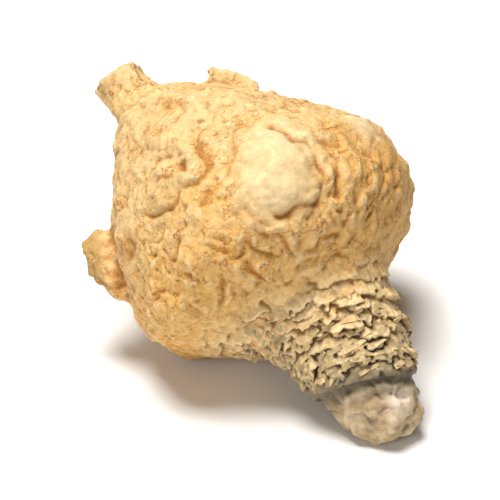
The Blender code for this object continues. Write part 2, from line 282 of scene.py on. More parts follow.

# %% [markdown]
# ## Bosses, rolls and folds
#
# The bulb's big egg-shaped boss, the knobs and the rolls of skin are what one knows this root by, so
# each is placed one by one: a boss is a round swelling, and a roll follows a path. Between them the skin
# is folded by noise. The absolute value of smooth noise has sharp valleys and round backs, as skin
# has that shrank over soft flesh, and bending the noise by a second one keeps the folds from looking
# like a grid. Distances are measured where points would lie on the plain form, so that a lump or a
# hollow doesn't change them.

# %% Bosses and rolls, placed one by one
BOSSES = (
    (1.4, 104, 3.4, 1.2), (5.2, 113, 3.5, 1.3), (2.4, 60, 2.3, 0.9), (-7.2, 182, 1.4, 0.5),
    (8.2, 180, 3.8, 0.8), (2.6, 143, 2.4, 0.5), (-11.5, 118, 3.0, 0.5),
    (-14.5, 150, 1.8, 0.8), (-18.0, 190, 1.4, 0.5), (5.5, 153, 2.4, 0.5), (-8.0, 95, 2.6, 0.5),
    (-1.0, 25, 3.0, 0.6), (6.5, 345, 3.2, 0.8), (-6.0, 320, 2.8, 0.7), (-3.5, 265, 3.0, 0.6),
    (7.0, 235, 3.0, 0.7), (-10.0, 20, 2.6, 0.6), (5.0, 5, 2.4, 0.6), (-13.0, 250, 2.2, 0.6),
)
ROLLS = (
    (1.15, 0.8, ((-8.6, 143), (-6.6, 135), (-4.3, 131), (-2.2, 132), (-1.4, 136),
                (-2.6, 141), (-4.4, 147))),
    (1.5, 0.5, ((-14.3, 118), (-9.7, 109), (-4.9, 100), (-1.3, 89), (1.2, 76))),
    (0.8, 0.35, ((2.0, 92), (5.0, 93), (8.0, 95), (10.6, 97))),
    (0.8, 0.4, ((2.6, 85), (6.0, 86), (9.5, 88), (11.6, 90))),
    (0.7, 0.4, ((3.6, 79), (7.0, 80), (10.0, 81), (12.2, 82))),
    (0.8, 0.35, ((6.4, 73), (9.0, 73), (12.6, 72))),
    (1.2, 0.5, ((3.0, 122), (6.6, 126), (9.0, 121), (10.0, 111), (9.8, 102))),
    (1.3, 0.5, ((-6.0, 215), (-1.0, 221), (3.0, 226), (7.0, 224))),
    (1.2, 0.35, ((-9.0, 40), (-4.0, 33), (1.0, 30), (6.0, 33))),
    (1.4, 0.3, ((-7.0, 345), (-2.0, 352), (3.0, 355), (8.0, 350))),
    (1.3, 0.5, ((-8.0, 280), (-3.0, 286), (2.0, 284), (6.0, 290))),
)
print(len(BOSSES), "bosses and", len(ROLLS), "rolls")


# %% Noise, swellings and paths
def noise_at(points, size, seed):
    """Smooth noise of about -1 to 1, with features of a given size."""
    shift = Vector((seed * 7.3, seed * 3.1, seed * 5.7))
    return np.array([noise.noise(Vector(p) / size + shift) for p in points])


def on_plain_form(station, turn):
    return surface_point(station, np.degrees(turn))


def swelling(plain, station, turn, reach):
    """1 at a place on the root, fading to 0 over a reach."""
    far = np.linalg.norm(plain - surface_point(station, turn)[0], axis=1)
    return np.exp(-((far / reach) ** 2))


def path_on_form(places):
    """Points along a smooth path over the plain form."""
    path = along(places, 6 * len(places))
    return np.concatenate([surface_point(s, t) for s, t in path])


def near_path(plain, line, reach):
    """Which points are within reach of a line, how far they are from it, and how far along it, 0 to 1."""
    lowest, highest = line.min(axis=0) - reach, line.max(axis=0) + reach
    which = np.flatnonzero(((plain > lowest) & (plain < highest)).all(axis=1))
    some = plain[which]
    far = np.full(len(some), 1e9)
    part = np.zeros(len(some))
    for i, (a, b) in enumerate(zip(line, line[1:])):
        t = np.clip((some - a) @ (b - a) / max((b - a) @ (b - a), 1e-9), 0, 1)
        here = np.linalg.norm(some - a - t[:, None] * (b - a), axis=1)
        part = np.where(here < far, (i + t) / (len(line) - 1), part)
        far = np.minimum(far, here)
    return which, far, part


# %% The folded skin of the bulb
FOLD_SIZE = 5.5
FOLD_HEIGHT = 0.9
FOLD_LEVEL = 0.4
ROUNDING = 0.01
WARP_SIZE = 6.0
PLEAT_GAP = 2.2
PLEAT_HEIGHT = 0.3
SHOULDER_TURN = 70
SHOULDER_SPREAD = 45


def shoulder_of(station, turn):
    """1 on the pleated shoulder and 0 elsewhere."""
    aside = (np.degrees(turn) - SHOULDER_TURN + 180) % 360 - 180
    return smooth_step(0, 4, station) * np.exp(-((aside / SHOULDER_SPREAD) ** 4))


def bulb_relief(points, plain, station, turn):
    height = np.zeros(len(points))
    for s, t, reach, rise in BOSSES:
        height += rise * swelling(plain, s, t, reach)
    for width, rise, places in ROLLS:
        which, far, _ = near_path(plain, path_on_form(places), 3 * width)
        height[which] += rise * np.exp(-((far / width) ** 2))
    warp = np.stack([noise_at(points, WARP_SIZE, seed) for seed in (1, 2, 3)], axis=1)
    folds = np.sqrt(noise_at(points + 2.0 * warp, FOLD_SIZE, 4) ** 2 + ROUNDING)
    fine = np.sqrt(noise_at(points + 1.5 * warp, 0.5 * FOLD_SIZE, 5) ** 2 + ROUNDING)
    height += FOLD_HEIGHT * (folds + 0.5 * fine - FOLD_LEVEL)
    around = turn * half_width(station)
    pleat = np.stack([station / 6, around / PLEAT_GAP, np.full(len(points), 9.0)], axis=1)
    return height + shoulder_of(station, turn) * PLEAT_HEIGHT * noise_at(pleat, 1.0, 6)


# %% The neck's rings
NECK_START = 10.6
BAND = 23.4
RING_TILT = 2.2
TILT_TURN = math.radians(60)


def ring_station(station, turn):
    """Station counted along the neck's rings, which lean over to one side."""
    return station - RING_TILT * smooth_step(4, 12, station) * np.cos(turn - TILT_TURN)


# %% Raise the big relief
REST_MIDDLE = (-0.2, -1.6)
REST_CALM = 6.0
REST_REACH = 6.0
REST_PUSH = 0.9
STUB_CALM = 0.7
TIP_LUMPS = ((0.8, 2.6, 10), (0.3, 1.4, 11))


def calm_at_rest(points):
    """0 in the middle of the flat spot that the root lies on, and 1 away from it."""
    far = np.linalg.norm(points - [*REST_MIDDLE, -GROUND_DROP], axis=1)
    return 1 - np.exp(-((far / REST_CALM) ** 4))


points = read_points(skin)
station, turn = root_coordinates(points)
plain = on_plain_form(station, turn)
rings = ring_station(station, turn)
on_bulb = 1 - smooth_step(NECK_START - 2, NECK_START + 1, rings)
on_stub = smooth_step(-16.5, -18.5, station)
tip = smooth_step(BAND, BAND + 1.5, rings)
rise = on_bulb * (1 - STUB_CALM * on_stub) * bulb_relief(points, plain, station, turn)
rise += tip * sum(high * noise_at(points, size, seed) for high, size, seed in TIP_LUMPS)
rise *= calm_at_rest(points)
write_points(skin, points + rise[:, None] * read_points(skin, "normal"))
print("big relief from", rise.min().round(2), "to", rise.max().round(2), "mm")

# %% [markdown]
# ## Creases where the picture shows them
#
# A crease is a V cut along a path, with a faint lip on either side, and it is painted brown in it:
# partly dirt and sap, partly painted shade.
# Each one is given by the spots of the picture that it runs through, its half width and depth in
# millimetres, and how brown it is. Finer ones wander over the whole skin from a fixed seed, fainter
# on the side that the picture shows.

# %% Creases by the spots they show at
SEEN_CREASES = (
    (0.36, 0.55, 0.6, ((99, 254), (100.5, 258), (102, 262), (103, 266),
                       (102, 269.5), (98.5, 271.5), (94.5, 273))),
    (0.30, 0.35, 0.6, ((89, 264.5), (93, 265), (96, 267))),
    (0.40, 0.40, 0.6, ((119, 246.5), (116, 249.5), (113, 251.5), (112.5, 257),
                       (112.5, 261), (111, 265), (110, 269))),
    (0.90, 0.20, 0.9, ((87, 240), (89.5, 243))),
    (0.45, 0.20, 0.5, ((105, 246), (108, 243.5))),
    (0.55, 0.45, 0.8, ((105.5, 271.5), (104, 275), (102.5, 278), (100, 281))),
    (0.36, 0.70, 1.0, ((93, 275), (91.5, 278.5), (90, 280.5), (87, 282), (83.5, 283.5), (80, 283))),
    (0.60, 0.35, 0.8, ((83, 271), (86, 269.5), (90, 268))),
    (0.45, 0.50, 1.0, ((124.5, 249), (127.5, 250), (131, 251.5), (133, 253.5), (135, 255.5), (140, 256.5))),
    (0.40, 0.35, 0.5, ((143.5, 258), (144, 264), (146.5, 268.5), (148, 271))),
    (0.45, 0.35, 0.7, ((144.5, 255.5), (148.5, 257), (151, 257), (153, 256.5))),
    (0.36, 0.50, 1.0, ((151, 267), (151.5, 272), (151, 276), (149.5, 276.5))),
    (0.40, 0.60, 0.9, ((127, 282), (131, 283.5), (134.5, 282.5), (138, 280.5), (143, 280), (145, 277.5))),
    (0.45, 0.40, 0.6, ((116, 279), (118.5, 283), (122, 286), (126, 287))),
    (0.40, 0.50, 1.0, ((151, 281.5), (153, 282.5))),
    (0.36, 0.35, 0.6, ((148.5, 282), (149, 284.5), (150.5, 287))),
    (0.30, 0.30, 0.5, ((142.5, 280.5), (142.5, 285))),
    (0.36, 0.20, 0.8, ((109, 276.5), (110, 277.5))),
    (0.60, 0.25, 0.4, ((130, 242), (133, 243.5), (138, 244))),
    (0.60, 0.45, 0.7, ((160, 260), (165, 261.5))),
    (0.40, 0.50, 1.0, ((167, 264.5), (168, 265.5))),
    (0.36, 0.35, 0.5, ((152, 259.5), (155, 259))),
    (0.36, 0.35, 0.5, ((160.5, 264), (160.5, 268), (160.8, 272))),
    (0.36, 0.30, 0.5, ((169, 267.5), (173, 265))),
    (0.36, 0.35, 0.7, ((161, 275.5), (165, 274.5))),
    (0.40, 0.40, 0.9, ((164, 280), (165, 281), (162, 284.5))),
    (0.40, 0.30, 0.7, ((172, 272.5), (176, 275))),
    (0.50, 0.25, 0.7, ((173, 279), (173.5, 286))),
    (0.90, 0.60, 0.9, ((72, 294), (75, 293.5), (75, 297), (72, 299))),
    (0.50, 0.40, 0.9, ((66.5, 293), (69, 293.5), (69, 298))),
    (0.55, 0.60, 0.9, ((69.5, 301), (71, 306), (71.5, 311), (71.5, 316))),
    (0.50, 0.25, 0.7, ((76.5, 303), (76.3, 307))),
    (0.36, 0.45, 0.9, ((93.5, 289.5), (92, 293), (91, 297), (90, 300))),
    (0.50, 0.50, 1.0, ((89.3, 299.5), (90.8, 300.5))),
    (0.40, 0.45, 0.9, ((93.5, 304.8), (97.5, 306))),
    (0.30, 0.25, 0.5, ((101, 288), (102.3, 290.5))),
    (0.34, 0.35, 0.6, ((105, 291.3), (109.5, 293.7))),
    (0.34, 0.40, 0.7, ((104, 295), (107, 296.3), (111, 297.5))),
    (0.34, 0.35, 0.6, ((111, 299.7), (114.5, 299), (117, 297))),
    (0.40, 0.50, 0.9, ((108.3, 305), (109.2, 309), (109, 313), (107.8, 317.5))),
    (0.34, 0.40, 0.7, ((95, 315.5), (98, 318), (102.5, 321.3))),
    (0.36, 0.40, 0.8, ((83.5, 313), (87.7, 310.5))),
    (0.30, 0.25, 0.5, ((86.3, 291.5), (84, 294))),
    (0.34, 0.30, 0.6, ((100.5, 324), (106, 324))),
    (0.55, 0.45, 1.0, ((112, 319), (114.5, 320.7))),
    (0.40, 0.40, 0.9, ((109.5, 326.5), (110.5, 328.5))),
    (0.38, 0.60, 0.9, ((117.5, 293), (120, 295.5), (123.5, 298), (129, 298.5))),
    (0.38, 0.45, 0.8, ((119.5, 289), (125, 291.3), (130, 291), (132, 294), (134, 297.5))),
    (0.38, 0.50, 0.8, ((117.5, 300), (119, 303), (123, 306), (126, 308.5))),
    (0.36, 0.40, 0.8, ((120.5, 308.6), (124, 308))),
    (0.40, 0.50, 0.9, ((131, 307.5), (133.5, 308), (136, 305.5), (137, 302.5),
                       (141, 299.8), (143.5, 299.3))),
    (0.36, 0.45, 0.8, ((139, 296.5), (142, 296), (144.3, 294), (145.5, 291.7), (150, 290.6), (152, 291.5))),
    (0.36, 0.50, 1.0, ((140, 308.7), (145, 308))),
    (0.36, 0.50, 0.9, ((148, 298.5), (152, 298), (156, 299.5))),
    (0.36, 0.35, 0.8, ((116, 310.5), (118.5, 312.5))),
    (0.36, 0.35, 0.8, ((122.5, 314.5), (125.5, 317.5))),
    (0.36, 0.30, 0.7, ((113, 309), (114, 314), (116.5, 315.5))),
    (0.50, 0.70, 1.0, ((165, 349.5), (170, 349), (175, 349.5), (178, 350))),
)


def seen(x, y, surface):
    """The plain form's point under the skin that shows at a spot of the picture, if it meets it."""
    scale = LENS / SENSOR * WINDOW
    way = -BACK_WAY + RIGHT_WAY * (x - FRAME_MIDDLE[0]) / scale + ABOVE_WAY * (FRAME_MIDDLE[1] - y) / scale
    hit = surface.ray_cast(Vector(camera_place), Vector(way))[0]
    if hit is None:
        return None
    station, turn = root_coordinates(np.array(hit)[None])
    return on_plain_form(station, turn)[0]


skin.calc_loop_triangles()
surface = BVHTree.FromPolygons([v.co for v in skin.vertices], [t.vertices for t in skin.loop_triangles])
creases = []
for width, depth, brown_and_shade, spots in SEEN_CREASES:
    line = [point for point in (seen(x, y, surface) for x, y in spots) if point is not None]
    if len(line) > 1:
        line = along(line, 6 * len(line))
        creases.append((width, depth, brown_and_shade, line))
print(len(creases), "of", len(SEEN_CREASES), "creases lie on the root")


# %% Wrinkles that wander over the skin
WRINKLES = 330
WRINKLE_STEP = 0.9
WRINKLE_DEPTH = 0.42
WRINKLE_BROWN = 0.7
SWERVE = 0.16


def wandering_path(luck):
    """Points of one wrinkle, which starts anywhere on the bulb and follows the flow of the skin."""
    station, turn = luck.uniform(-17, 11), luck.uniform(0, 360)
    on_shoulder = float(shoulder_of(np.array([station]), np.radians([turn]))[0])
    on_throat = float(smooth_step(4.5, 7.5, station)) * (1 - on_shoulder)
    heading = luck.normal(0, 0.3 + 0.9 * (1 - on_shoulder) * (1 - on_throat)) + on_throat * math.pi / 2
    bend = luck.normal(0, 0.13)
    path = []
    for _ in range(luck.integers(4, 10)):
        path.append(surface_point(station, turn)[0])
        station += WRINKLE_STEP * math.cos(heading)
        turn += math.degrees(WRINKLE_STEP * math.sin(heading) / max(float(half_width([station])[0]), 3.0))
        heading += bend + luck.normal(0, SWERVE)
    return np.array(path)


luck = np.random.default_rng(35)
for _ in range(WRINKLES):
    path = wandering_path(luck)
    width, strength = luck.uniform(0.24, 0.42), luck.uniform(0.3, 1.0)
    middle = path[len(path) // 2]
    to_camera = camera_place - middle
    facing = float((to_camera / np.linalg.norm(to_camera)) @ (middle / np.linalg.norm(middle)))
    strength *= 0.45 + 0.55 * float(smooth_step(0.15, -0.15, facing))
    creases.append((width, WRINKLE_DEPTH * strength, WRINKLE_BROWN * strength, path))
print(len(creases), "creases and wrinkles in all")

# %% How deep they cut, and how brown they are
CREASE_SHARE = 0.8
CREASE_SHARPNESS = 1.3
LIP_HEIGHT = 0.12
LIP_PLACE = 2.4
END_STRENGTH = 0.45
BROWN_SHARE = 0.8
BROWN_REACH = 0.16


def cut_creases(plain, calm):
    """How deep the creases cut at points, and how brown they are there, the brown partly dirt and partly
    painted shade.
    """
    depth, brown_and_shade = np.zeros(len(plain)), np.zeros(len(plain))
    for width, deep, colour, line in creases:
        which, far, part = near_path(plain, line, 4 * width)
        fade = np.clip(4 * np.minimum(part, 1 - part) + END_STRENGTH, 0, 1)
        lip = np.exp(-(((far - LIP_PLACE * width) / width) ** 2))
        cut = deep * (np.exp(-((far / width) ** CREASE_SHARPNESS)) - LIP_HEIGHT * lip)
        depth[which] = np.where(np.abs(cut * fade) > np.abs(depth[which]), cut * fade, depth[which])
        # The brown spreads a little past the crease's edge: partly dirt, partly painted shade.
        brown_spread = np.exp(-((far / (BROWN_SHARE * width + BROWN_REACH)) ** 2))
        brown_and_shade[which] = np.maximum(brown_and_shade[which], colour * fade * brown_spread)
    return CREASE_SHARE * depth * calm, brown_and_shade


# %% [markdown]
# ## The neck of leaf bases
#
# Leaves grew from the crown in rings, the oldest outermost. Each left a torn base, so the neck is
# ringed by scales that rise towards the crown and end in a ragged edge with a dark gap behind it. A
# row and a cell number are worked out for every point, and each scale gets its own place, width,
# height and edge from them. Where scales overlap the highest one wins, as shingles do. Towards the
# bulb they lie flat and worn, and towards the tip they stand up and are torn.

# %% Rows of scales
ROW_GAP = 1.2
SCALE_WIDTH = 2.8
SCALE_HEIGHT = 1.0


def chance(row, cell, seed):
    """A fixed number from 0 to 1 for each scale, which looks random."""
    wave = np.sin(row * 127.1 + cell * 311.7 + seed * 74.7) * 43758.5453
    return wave - np.floor(wave)


def scale_height(points, rings, turn):
    """Overlapping torn scales, 0 in the gaps and about 1 on the highest free edges."""
    torn = smooth_step(NECK_START + 0.5, NECK_START + 6.0, rings)
    wander = 0.5 * noise_at(points, 4.0, 7) + (0.2 + 0.4 * torn) * noise_at(points, 1.5, 12)
    tear = noise_at(points, 0.6, 13)
    row = (rings - NECK_START) / ROW_GAP + wander
    height = np.zeros(len(points))
    for row_step in (-1, 0, 1):
        k = np.floor(row) + row_step
        count = np.maximum(np.round(2 * math.pi * half_width(NECK_START + k * ROW_GAP) / SCALE_WIDTH), 5)
        across = turn / (2 * math.pi) * count + chance(k, 0, 1)
        for cell_step in (-1, 0, 1):
            j = np.floor(across) + cell_step
            name = np.mod(j, count)
            aside = across - j - 0.5 - 0.7 * (chance(k, name, 2) - 0.5)
            aside = np.abs(aside + 0.15 * tear) / (0.55 + 0.35 * chance(k, name, 4))
            up = row - k - (0.35 + 0.6 * torn) * (chance(k, name, 3) - 0.5)
            edge = 1.0 + 0.4 * (chance(k, name, 6) - 0.5) - (0.1 + 0.2 * torn) * aside**2
            edge = edge + (0.15 + 0.3 * torn) * tear
            rise = np.clip((up + 0.4) / (edge + 0.4), 0, 1) * (1 - smooth_step(edge - 0.1, edge + 0.15, up))
            rise *= 1 - smooth_step(0.6, 1.05, aside)
            height = np.maximum(height, rise * (0.35 + 0.9 * chance(k, name, 5)))
    return height


# %% [markdown]
# ## The fine skin
#
# Close up, the skin is finely wrinkled everywhere. This is too fine for the first skin, so it is
# raised on a second, closer one, together with the creases and the scales. It is real geometry,
# because light that falls across a root shows each wrinkle by its shadow. Small pillows are cells:
# each point is as high as it is far from the border between the two nearest cell centres.

# %% A closer skin
FINE_VOXEL = 0.2
skin = skin_of(skin, FINE_VOXEL, 1)
print("skin for the fine relief:", len(skin.vertices), "points")


# %% Pillows, pleats and pits
def ridged(points, size, seed):
    """Round backs with sharp valleys, 0 in the valleys and about 1 on the backs."""
    return np.minimum(np.abs(noise_at(points, size, seed)) * 2.4, 1.0)


def pillows(points, size, seed):
    """Domed cells of a given size with creases between them, 0 in the creases."""
    shift = Vector((seed * 5.3, seed * 2.1, seed * 8.7))
    near = np.array([noise.voronoi(Vector(p) / size + shift)[0][:2] for p in points])
    return smooth_step(0.0, 0.6, near[:, 1] - near[:, 0])


PLUMP_HEIGHT = 0.26
PILLOW_HEIGHT = 0.13
SHOULDER_PLEATS = 0.20
THROAT_PLEATS = 0.18
PIT_DEPTH = 0.22
SUNK = 0.2


def fine_relief(points, plain, station, turn):
    warp = np.stack([noise_at(points, 2.6, seed) for seed in (21, 22, 23)], axis=1)
    bent = points + 1.3 * warp
    plump = 0.3 + 0.7 * smooth_step(-0.2, 0.4, noise_at(points, 8.0, 20))
    on_boss = np.maximum(swelling(plain, 1.4, 104, 3.0), swelling(plain, 5.0, 112, 3.2))
    height = PLUMP_HEIGHT * plump * pillows(bent, 3.2, 24) + PILLOW_HEIGHT * pillows(bent, 1.5, 25)
    grain = ((0.14, bent, 1.9, 36), (0.10, points, 0.9, 26), (0.05, points, 0.45, 33))
    height += sum(high * noise_at(where, size, seed) for high, where, size, seed in grain)
    shoulder = shoulder_of(station, turn)
    height *= (1 - 0.55 * on_boss) * (1 - 0.55 * shoulder)
    around = turn * half_width(station)
    sheet = np.stack([station, around, 0.4 * points @ UP_WAY], axis=1) + 0.6 * warp
    height += SHOULDER_PLEATS * shoulder * ridged(sheet * [0.12, 1 / 1.7, 0.1], 1.0, 27)
    throat = smooth_step(5.5, 8.0, station) * (0.5 + 0.5 * np.sin(turn)) * (1 - on_boss)
    height += THROAT_PLEATS * throat * ridged(sheet * [1 / 1.4, 0.2, 0.1], 1.0, 28)
    pitted = swelling(plain, 3.3, 165, 3.0)
    height -= PIT_DEPTH * pitted * smooth_step(0.1, 0.5, noise_at(points, 0.8, 29))
    torn_patch = swelling(plain, -1.4, 151, 1.9)
    return height + torn_patch * (0.3 + 0.25 * ridged(bent, 0.9, 34)) - SUNK


# %% Raise it
BAND_DEPTH = 0.45
SCALE_LEAN = 0.5
points = read_points(skin)
normals = read_points(skin, "normal")
station, turn = root_coordinates(points)
plain = on_plain_form(station, turn)
rings = ring_station(station, turn)
on_bulb = 1 - smooth_step(NECK_START - 0.5, NECK_START + 2.0, rings)
on_neck = smooth_step(NECK_START - 1.0, NECK_START + 1.5, rings)
on_neck *= 1 - smooth_step(BAND - 0.5, BAND + 0.1, rings)
tip = smooth_step(BAND - 0.2, BAND + 0.8, rings)
calm = calm_at_rest(points)
torn = smooth_step(NECK_START, NECK_START + 7.0, rings)
scales = scale_height(points, rings, turn)
bent = plain + 0.3 * np.stack([noise_at(points, 1.8, seed) for seed in (41, 42, 43)], axis=1)
depth, crease_brown_and_shade = cut_creases(bent, calm)
rise = on_bulb * fine_relief(points, plain, station, turn) * calm - (1 - 0.5 * on_neck) * depth
low_end = 1 - 0.45 * smooth_step(BAND - 3.5, BAND - 0.3, rings)
raised = SCALE_HEIGHT * low_end * (0.3 + 0.7 * torn) * (scales - 0.5)
rise += on_neck * (raised + 0.09 * noise_at(points, 0.6, 30))
rise += tip * (0.3 * ridged(points, 1.6, 31) + 0.1 * noise_at(points, 0.6, 32) - 0.3)
rise -= BAND_DEPTH * np.exp(-(((rings - BAND - 0.4) / 0.8) ** 2))
lean = on_neck * SCALE_LEAN * SCALE_HEIGHT * torn * scales
points = points + rise[:, None] * normals + lean[:, None] * CROWN_WAY
low = points[:, 2] < 0
flat_far = np.hypot(points[:, 0] - REST_MIDDLE[0], points[:, 1] - REST_MIDDLE[1])
points[low, 2] -= REST_PUSH * np.exp(-((flat_far[low] / REST_REACH) ** 2))
points[:, 2] = np.maximum(points[:, 2], -GROUND_DROP)
write_points(skin, points)
# Painted shade: the bulb's upper right side, towards the crown, is painted brown.
brown_spread = 0.6 * swelling(plain, 8.0, 55, 5.0)
painted_brown_and_shade = np.maximum(crease_brown_and_shade * (1 - 0.4 * on_neck), brown_spread)
print("fine relief from", rise.min().round(2), "to", rise.max().round(2), "mm")

# %% [markdown]
# ## What the colour needs to know
#
# Dried skin is pale where it is rubbed and brown where dirt and sap stay, in the hollows. Here the
# backs of the folds are also painted paler as painted highlight, and the hollows browner as painted
# shade. So each point is given how hollow it is: how far the skin around it, smoothed, stands above
# it. It is measured over two reaches, one for wrinkles and one for folds. The parts of the root that
# differ in colour get a value each as well, and the bulb's ochre value, higher towards the crown end,
# is partly painted shade. A material can read all of these by name.


# %% Hollows by smoothing
def neighbours_of(mesh):
    edges = np.empty(len(mesh.edges) * 2, dtype=np.int64)
    mesh.edges.foreach_get("vertices", edges)
    return edges.reshape(-1, 2)


def smoothed(points, edges, rounds):
    """Points after rounds of averaging with their neighbours."""
    count = np.bincount(edges.ravel(), minlength=len(points))[:, None]
    for _ in range(rounds):
        total = np.zeros_like(points)
        for axis in range(3):
            total[:, axis] = np.bincount(edges[:, 0], points[edges[:, 1], axis], len(points))
            total[:, axis] += np.bincount(edges[:, 1], points[edges[:, 0], axis], len(points))
        points = 0.5 * points + 0.5 * total / count
    return points


NEAR_ROUNDS = 12
WIDE_ROUNDS = 70
NEAR_DEPTH = 0.30
WIDE_DEPTH = 1.4
points = read_points(skin)
edges = neighbours_of(skin)
near_smooth = smoothed(points, edges, NEAR_ROUNDS)
wide_smooth = smoothed(near_smooth, edges, WIDE_ROUNDS)
normals = read_points(skin, "normal")
hollow_near = ((near_smooth - points) * normals).sum(axis=1)
hollow_wide = ((wide_smooth - points) * normals).sum(axis=1)
station, turn = root_coordinates(points)
rings = ring_station(station, turn)
plain = on_plain_form(station, turn)
on_boss = np.maximum(swelling(plain, 1.4, 104, 4.0), swelling(plain, 5.0, 112, 4.0))
on_boss = np.maximum(on_boss, swelling(plain, 1.6, 62, 2.4))
high_up = smooth_step(3.0, 5.0, points[:, 2] + GROUND_DROP)
off_end = 1 - smooth_step(BAND - 1.2, BAND - 0.4, rings)
off_form = np.linalg.norm(points - plain, axis=1)
named_values = {
    "hollow_near": np.clip(0.5 + hollow_near / NEAR_DEPTH, 0, 1),
    "hollow_wide": np.clip(0.5 + hollow_wide / WIDE_DEPTH, 0, 1),
    "brown_and_shade": painted_brown_and_shade,
    "neck": smooth_step(NECK_START - 1.0, NECK_START + 4.5, rings),
    "neck_low": smooth_step(NECK_START + 4.0, BAND - 1.0, rings),
    "tip": smooth_step(BAND - 0.1, BAND + 0.9, rings),
    # Where the painted highlight on the tip lies.
    "tip_highlight": swelling(plain, 27.6, 92, 1.5),
    "band": np.exp(-(((rings - BAND - 0.3) / 1.5) ** 2)),
    "boss": on_boss,
    # More ochre towards the crown end and off the boss: partly the skin's own colour, partly painted shade
    # on the lower front.
    "ochre_and_shade": np.clip(smooth_step(-7, 9, station) * (1 - 0.9 * on_boss), 0, 1),
    "torn": swelling(plain, -1.4, 151, 2.2),
    "ear": smooth_step(1.0, 2.2, off_form) * swelling(plain, -4.5, 204, 7.0),
    "flakes": high_up * off_end * smooth_step(NECK_START + 2.0, NECK_START + 8, rings),
}
for name, value in named_values.items():
    attribute = skin.attributes.new(name, "FLOAT", "POINT")
    attribute.data.foreach_set("value", np.asarray(value, dtype=np.float32))
for reach, hollow in (("near", hollow_near), ("wide", hollow_wide)):
    print(reach, "hollows in mm:", np.percentile(hollow, [5, 50, 95]).round(3))

# %% [markdown]
# ## The finish
#
# One material carries the whole skin, because it is one skin: cream on the backs of the folds, partly
# painted highlight, ochre between them, partly painted shade towards the crown end, and orange-brown
# in the creases, partly dirt and partly painted shade. The boss is painted paler, partly as painted
# highlight. The crown's neck is greyer, partly painted shade lower down, with painted shadow nearly
# black in its gaps, and the blunt tip is a dull grey tan with a painted highlight. The named values
# choose between these, and noise on the object's own coordinates breaks each of them up, so that no
# area is one flat colour. A net of hair-thin wrinkles and the pores are too fine to model, so the
# material draws them, with their valleys painted brown, partly as painted shade.


# %% Helpers for node trees
def new_material(name, roughness):
    material = bpy.data.materials.new(name)
    material.use_nodes = True
    tree = material.node_tree
    shader = tree.nodes["Principled BSDF"]
    shader.inputs["Roughness"].default_value = roughness
    shader.inputs["Specular IOR Level"].default_value = 0.25
    return material, tree, shader


def link(tree, source, target):
    tree.links.new(source, target)


def add_node(tree, kind, **settings):
    node = tree.nodes.new(kind)
    for name, value in settings.items():
        setattr(node, name, value)
    return node


def named_value(tree, name):
    return add_node(tree, "ShaderNodeAttribute", attribute_name=name).outputs["Fac"]


def coordinates_mm(tree):
    """The object's own coordinates, in millimetres."""
    scale = add_node(tree, "ShaderNodeVectorMath", operation="SCALE")
    scale.inputs["Scale"].default_value = 1000.0
    link(tree, add_node(tree, "ShaderNodeTexCoord").outputs["Object"], scale.inputs[0])
    return scale.outputs["Vector"]


def noise_value(tree, where, size, detail=3.0, rough=0.55):
    node = add_node(tree, "ShaderNodeTexNoise")
    for name, value in (("Scale", 1.0 / size), ("Detail", detail), ("Roughness", rough)):
        node.inputs[name].default_value = value
    link(tree, where, node.inputs["Vector"])
    return node.outputs["Fac"]


def cell_value(tree, where, size):
    """A random number from 0 to 1 for each cell of a given size."""
    node = add_node(tree, "ShaderNodeTexVoronoi")
    node.inputs["Scale"].default_value = 1.0 / size
    link(tree, where, node.inputs["Vector"])
    split = add_node(tree, "ShaderNodeSeparateColor")
    link(tree, node.outputs["Color"], split.inputs[0])
    return split.outputs[0]


def spread(tree, value, low, high, to_low=0.0, to_high=1.0):
    """Brings a value from one range to another, smoothly and held at the ends."""
    node = add_node(tree, "ShaderNodeMapRange", interpolation_type="SMOOTHSTEP")
    for name, end in (("From Min", low), ("From Max", high), ("To Min", to_low), ("To Max", to_high)):
        node.inputs[name].default_value = end
    link(tree, value, node.inputs["Value"])
    return node.outputs["Result"]


def set_or_link(tree, socket, value):
    """Gives a socket a number, a red, green and blue, or another node's value."""
    if isinstance(value, bpy.types.NodeSocket):
        link(tree, value, socket)
    else:
        socket.default_value = (*value, 1.0) if isinstance(value, tuple) else value


def mixed(tree, amount, first, second):
    """Mixes two colours, each a socket or a red, green and blue."""
    node = add_node(tree, "ShaderNodeMix", data_type="RGBA")
    for socket, value in ((node.inputs[0], amount), (node.inputs[6], first), (node.inputs[7], second)):
        set_or_link(tree, socket, value)
    return node.outputs[2]


def maths(tree, way, first, second):
    node = add_node(tree, "ShaderNodeMath", operation=way, use_clamp=True)
    for socket, value in ((node.inputs[0], first), (node.inputs[1], second)):
        set_or_link(tree, socket, value)
    return node.outputs[0]


def times(tree, first, second):
    return maths(tree, "MULTIPLY", first, second)


def wrinkle_value(tree, where, size):
    """0 in the valleys of a net of fine wrinkles, rising to 1 on their backs."""
    value = noise_value(tree, where, size, 3.0, 0.6)
    above, below = maths(tree, "SUBTRACT", value, 0.5), maths(tree, "SUBTRACT", 0.5, value)
    return spread(tree, maths(tree, "MAXIMUM", above, below), 0.0, 0.09)


def coat(tree, colour, tint, value, low, high, most=1.0):
    """Lays a tint over a colour as a value goes from low to high."""
    return mixed(tree, spread(tree, value, low, high, 0.0, most), colour, tint)


def patch(tree, colour, tint, name, most):
    """Lays a tint over a colour where one of the skin's named values is high."""
    return mixed(tree, times(tree, named_value(tree, name), most), colour, tint)


